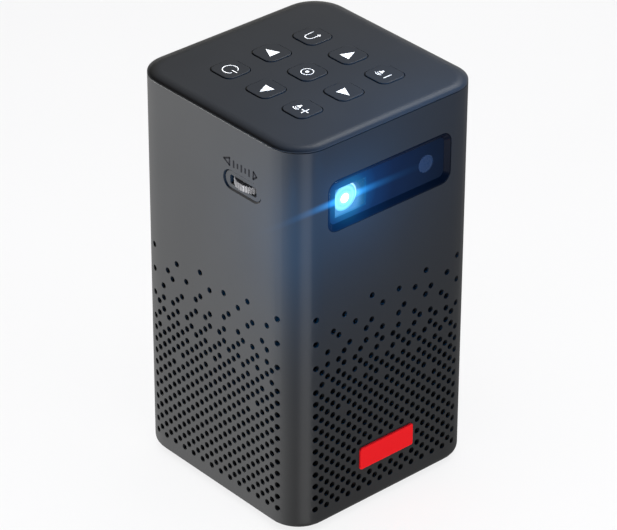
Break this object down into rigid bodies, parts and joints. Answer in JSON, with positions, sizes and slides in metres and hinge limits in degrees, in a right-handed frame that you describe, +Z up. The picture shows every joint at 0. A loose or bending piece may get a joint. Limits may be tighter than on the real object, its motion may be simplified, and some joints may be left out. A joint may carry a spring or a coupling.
{
  "type": "video projector",
  "caption": "Battery tower projector: square rounded body with a perforated lower grille, keypad on top, lens window near the top and a side focus wheel.",
  "frame": {"origin": "on the table, under the middle of the square body", "axes": "+Z up; -Y out through the lens window at the front; -X is the side of the focus wheel; the sockets face +Y"},
  "size_m": [0.0824, 0.0823, 0.1484],
  "materials": {
    "shell_plastic": "fine matt grey paint",
    "cap_plastic": "satin dark grey",
    "key_plastic": "satin dark grey with printed marks",
    "red_plate": "plain red, satin",
    "bezel_plastic": "gloss black",
    "smoked_glass": "dark tinted, polished",
    "lens_glass": "coated",
    "black_plastic": "moulded black",
    "circuit_board": "solder mask",
    "flat_cable": "polyester film",
    "aluminium": "machined",
    "steel": "plated",
    "brass": "turned",
    "rubber": "matt",
    "cell_wrap": "shrink sleeve",
    "paper_cone": "pressed membrane",
    "mesh_cloth": "fine black mesh"
  },
  "bodies": {
    "housing": {"body_sleeve": "shell_plastic", "top_cap": "cap_plastic", "badge_plate": "red_plate", "dust_liner": "mesh_cloth", "keypad_board": "circuit_board", "key_switches": "black_plastic", "keypad_ribbon": "flat_cable", "ribbon_sockets": "black_plastic", "window_bezel": "bezel_plastic", "window_glass": "smoked_glass", "window_seal": "rubber", "sensor_board": "circuit_board", "light_sensor": "black_plastic", "lens_guide": "aluminium", "focus_axle": "steel", "focus_bracket": "steel", "engine_housing": "aluminium", "engine_cover": "black_plastic", "image_chip_board": "circuit_board", "lamp_modules": "black_plastic", "heat_sink": "aluminium", "fan_frame": "black_plastic", "fan_motor": "steel", "main_board": "circuit_board", "processor_shield": "steel", "board_spacers": "brass", "hdmi_socket": "steel", "usb_socket": "steel", "audio_jack": "black_plastic", "power_jack": "black_plastic", "port_panel": "black_plastic", "battery_cells": "cell_wrap", "battery_tray": "black_plastic", "speaker_basket": "steel", "speaker_cone": "paper_cone", "speaker_magnet": "steel", "speaker_box": "black_plastic", "inner_frame": "black_plastic", "base_plate": "black_plastic", "rubber_feet": "rubber", "tripod_insert": "brass", "base_screws": "steel"},
    "focus_wheel": {"focus_wheel": "aluminium", "focus_pinion": "black_plastic"},
    "lens_barrel": {"lens_barrel": "aluminium", "front_lens": "lens_glass", "rear_lens": "lens_glass", "lens_lock_ring": "aluminium", "focus_rack": "black_plastic"},
    "fan_rotor": {"fan_rotor": "black_plastic"},
    "power_key": {"power_key": "key_plastic"},
    "down_key": {"down_key": "key_plastic"},
    "return_key": {"return_key": "key_plastic"},
    "right_key": {"right_key": "key_plastic"},
    "select_key": {"select_key": "key_plastic"},
    "left_key": {"left_key": "key_plastic"},
    "volume_up_key": {"volume_up_key": "key_plastic"},
    "up_key": {"up_key": "key_plastic"},
    "volume_down_key": {"volume_down_key": "key_plastic"}
  },
  "joints": [
    {"name": "power_key_press", "type": "slide", "parent": "housing", "child": "power_key", "axis": [0, 0, -1], "range_m": [0, 0.0006], "stiffness_N_per_m": 1200, "springref_m": -0.0002},
    {"name": "down_key_press", "type": "slide", "parent": "housing", "child": "down_key", "axis": [0, 0, -1], "range_m": [0, 0.0006], "stiffness_N_per_m": 1200, "springref_m": -0.0002},
    {"name": "return_key_press", "type": "slide", "parent": "housing", "child": "return_key", "axis": [0, 0, -1], "range_m": [0, 0.0006], "stiffness_N_per_m": 1200, "springref_m": -0.0002},
    {"name": "right_key_press", "type": "slide", "parent": "housing", "child": "right_key", "axis": [0, 0, -1], "range_m": [0, 0.0006], "stiffness_N_per_m": 1200, "springref_m": -0.0002},
    {"name": "select_key_press", "type": "slide", "parent": "housing", "child": "select_key", "axis": [0, 0, -1], "range_m": [0, 0.0006], "stiffness_N_per_m": 1200, "springref_m": -0.0002},
    {"name": "left_key_press", "type": "slide", "parent": "housing", "child": "left_key", "axis": [0, 0, -1], "range_m": [0, 0.0006], "stiffness_N_per_m": 1200, "springref_m": -0.0002},
    {"name": "volume_up_key_press", "type": "slide", "parent": "housing", "child": "volume_up_key", "axis": [0, 0, -1], "range_m": [0, 0.0006], "stiffness_N_per_m": 1200, "springref_m": -0.0002},
    {"name": "up_key_press", "type": "slide", "parent": "housing", "child": "up_key", "axis": [0, 0, -1], "range_m": [0, 0.0006], "stiffness_N_per_m": 1200, "springref_m": -0.0002},
    {"name": "volume_down_key_press", "type": "slide", "parent": "housing", "child": "volume_down_key", "axis": [0, 0, -1], "range_m": [0, 0.0006], "stiffness_N_per_m": 1200, "springref_m": -0.0002},
    {"name": "focus_turn", "type": "hinge", "parent": "housing", "child": "focus_wheel", "pos_m": [-0.0336, -0.0147, 0.12665], "axis": [0, 0, 1], "range_deg": [0, 46]},
    {"name": "lens_slide", "type": "slide", "parent": "housing", "child": "lens_barrel", "axis": [0, 1, 0], "range_m": [0, 0.00289]},
    {"name": "fan_spin", "type": "hinge", "parent": "housing", "child": "fan_rotor", "pos_m": [0.001, -0.0082, 0.0927], "axis": [0, 1, 0], "continuous": true}
  ],
  "couplings": [
    {"joint": "focus_turn", "follows": "lens_slide", "rad_per_m": 277.78}
  ]
}
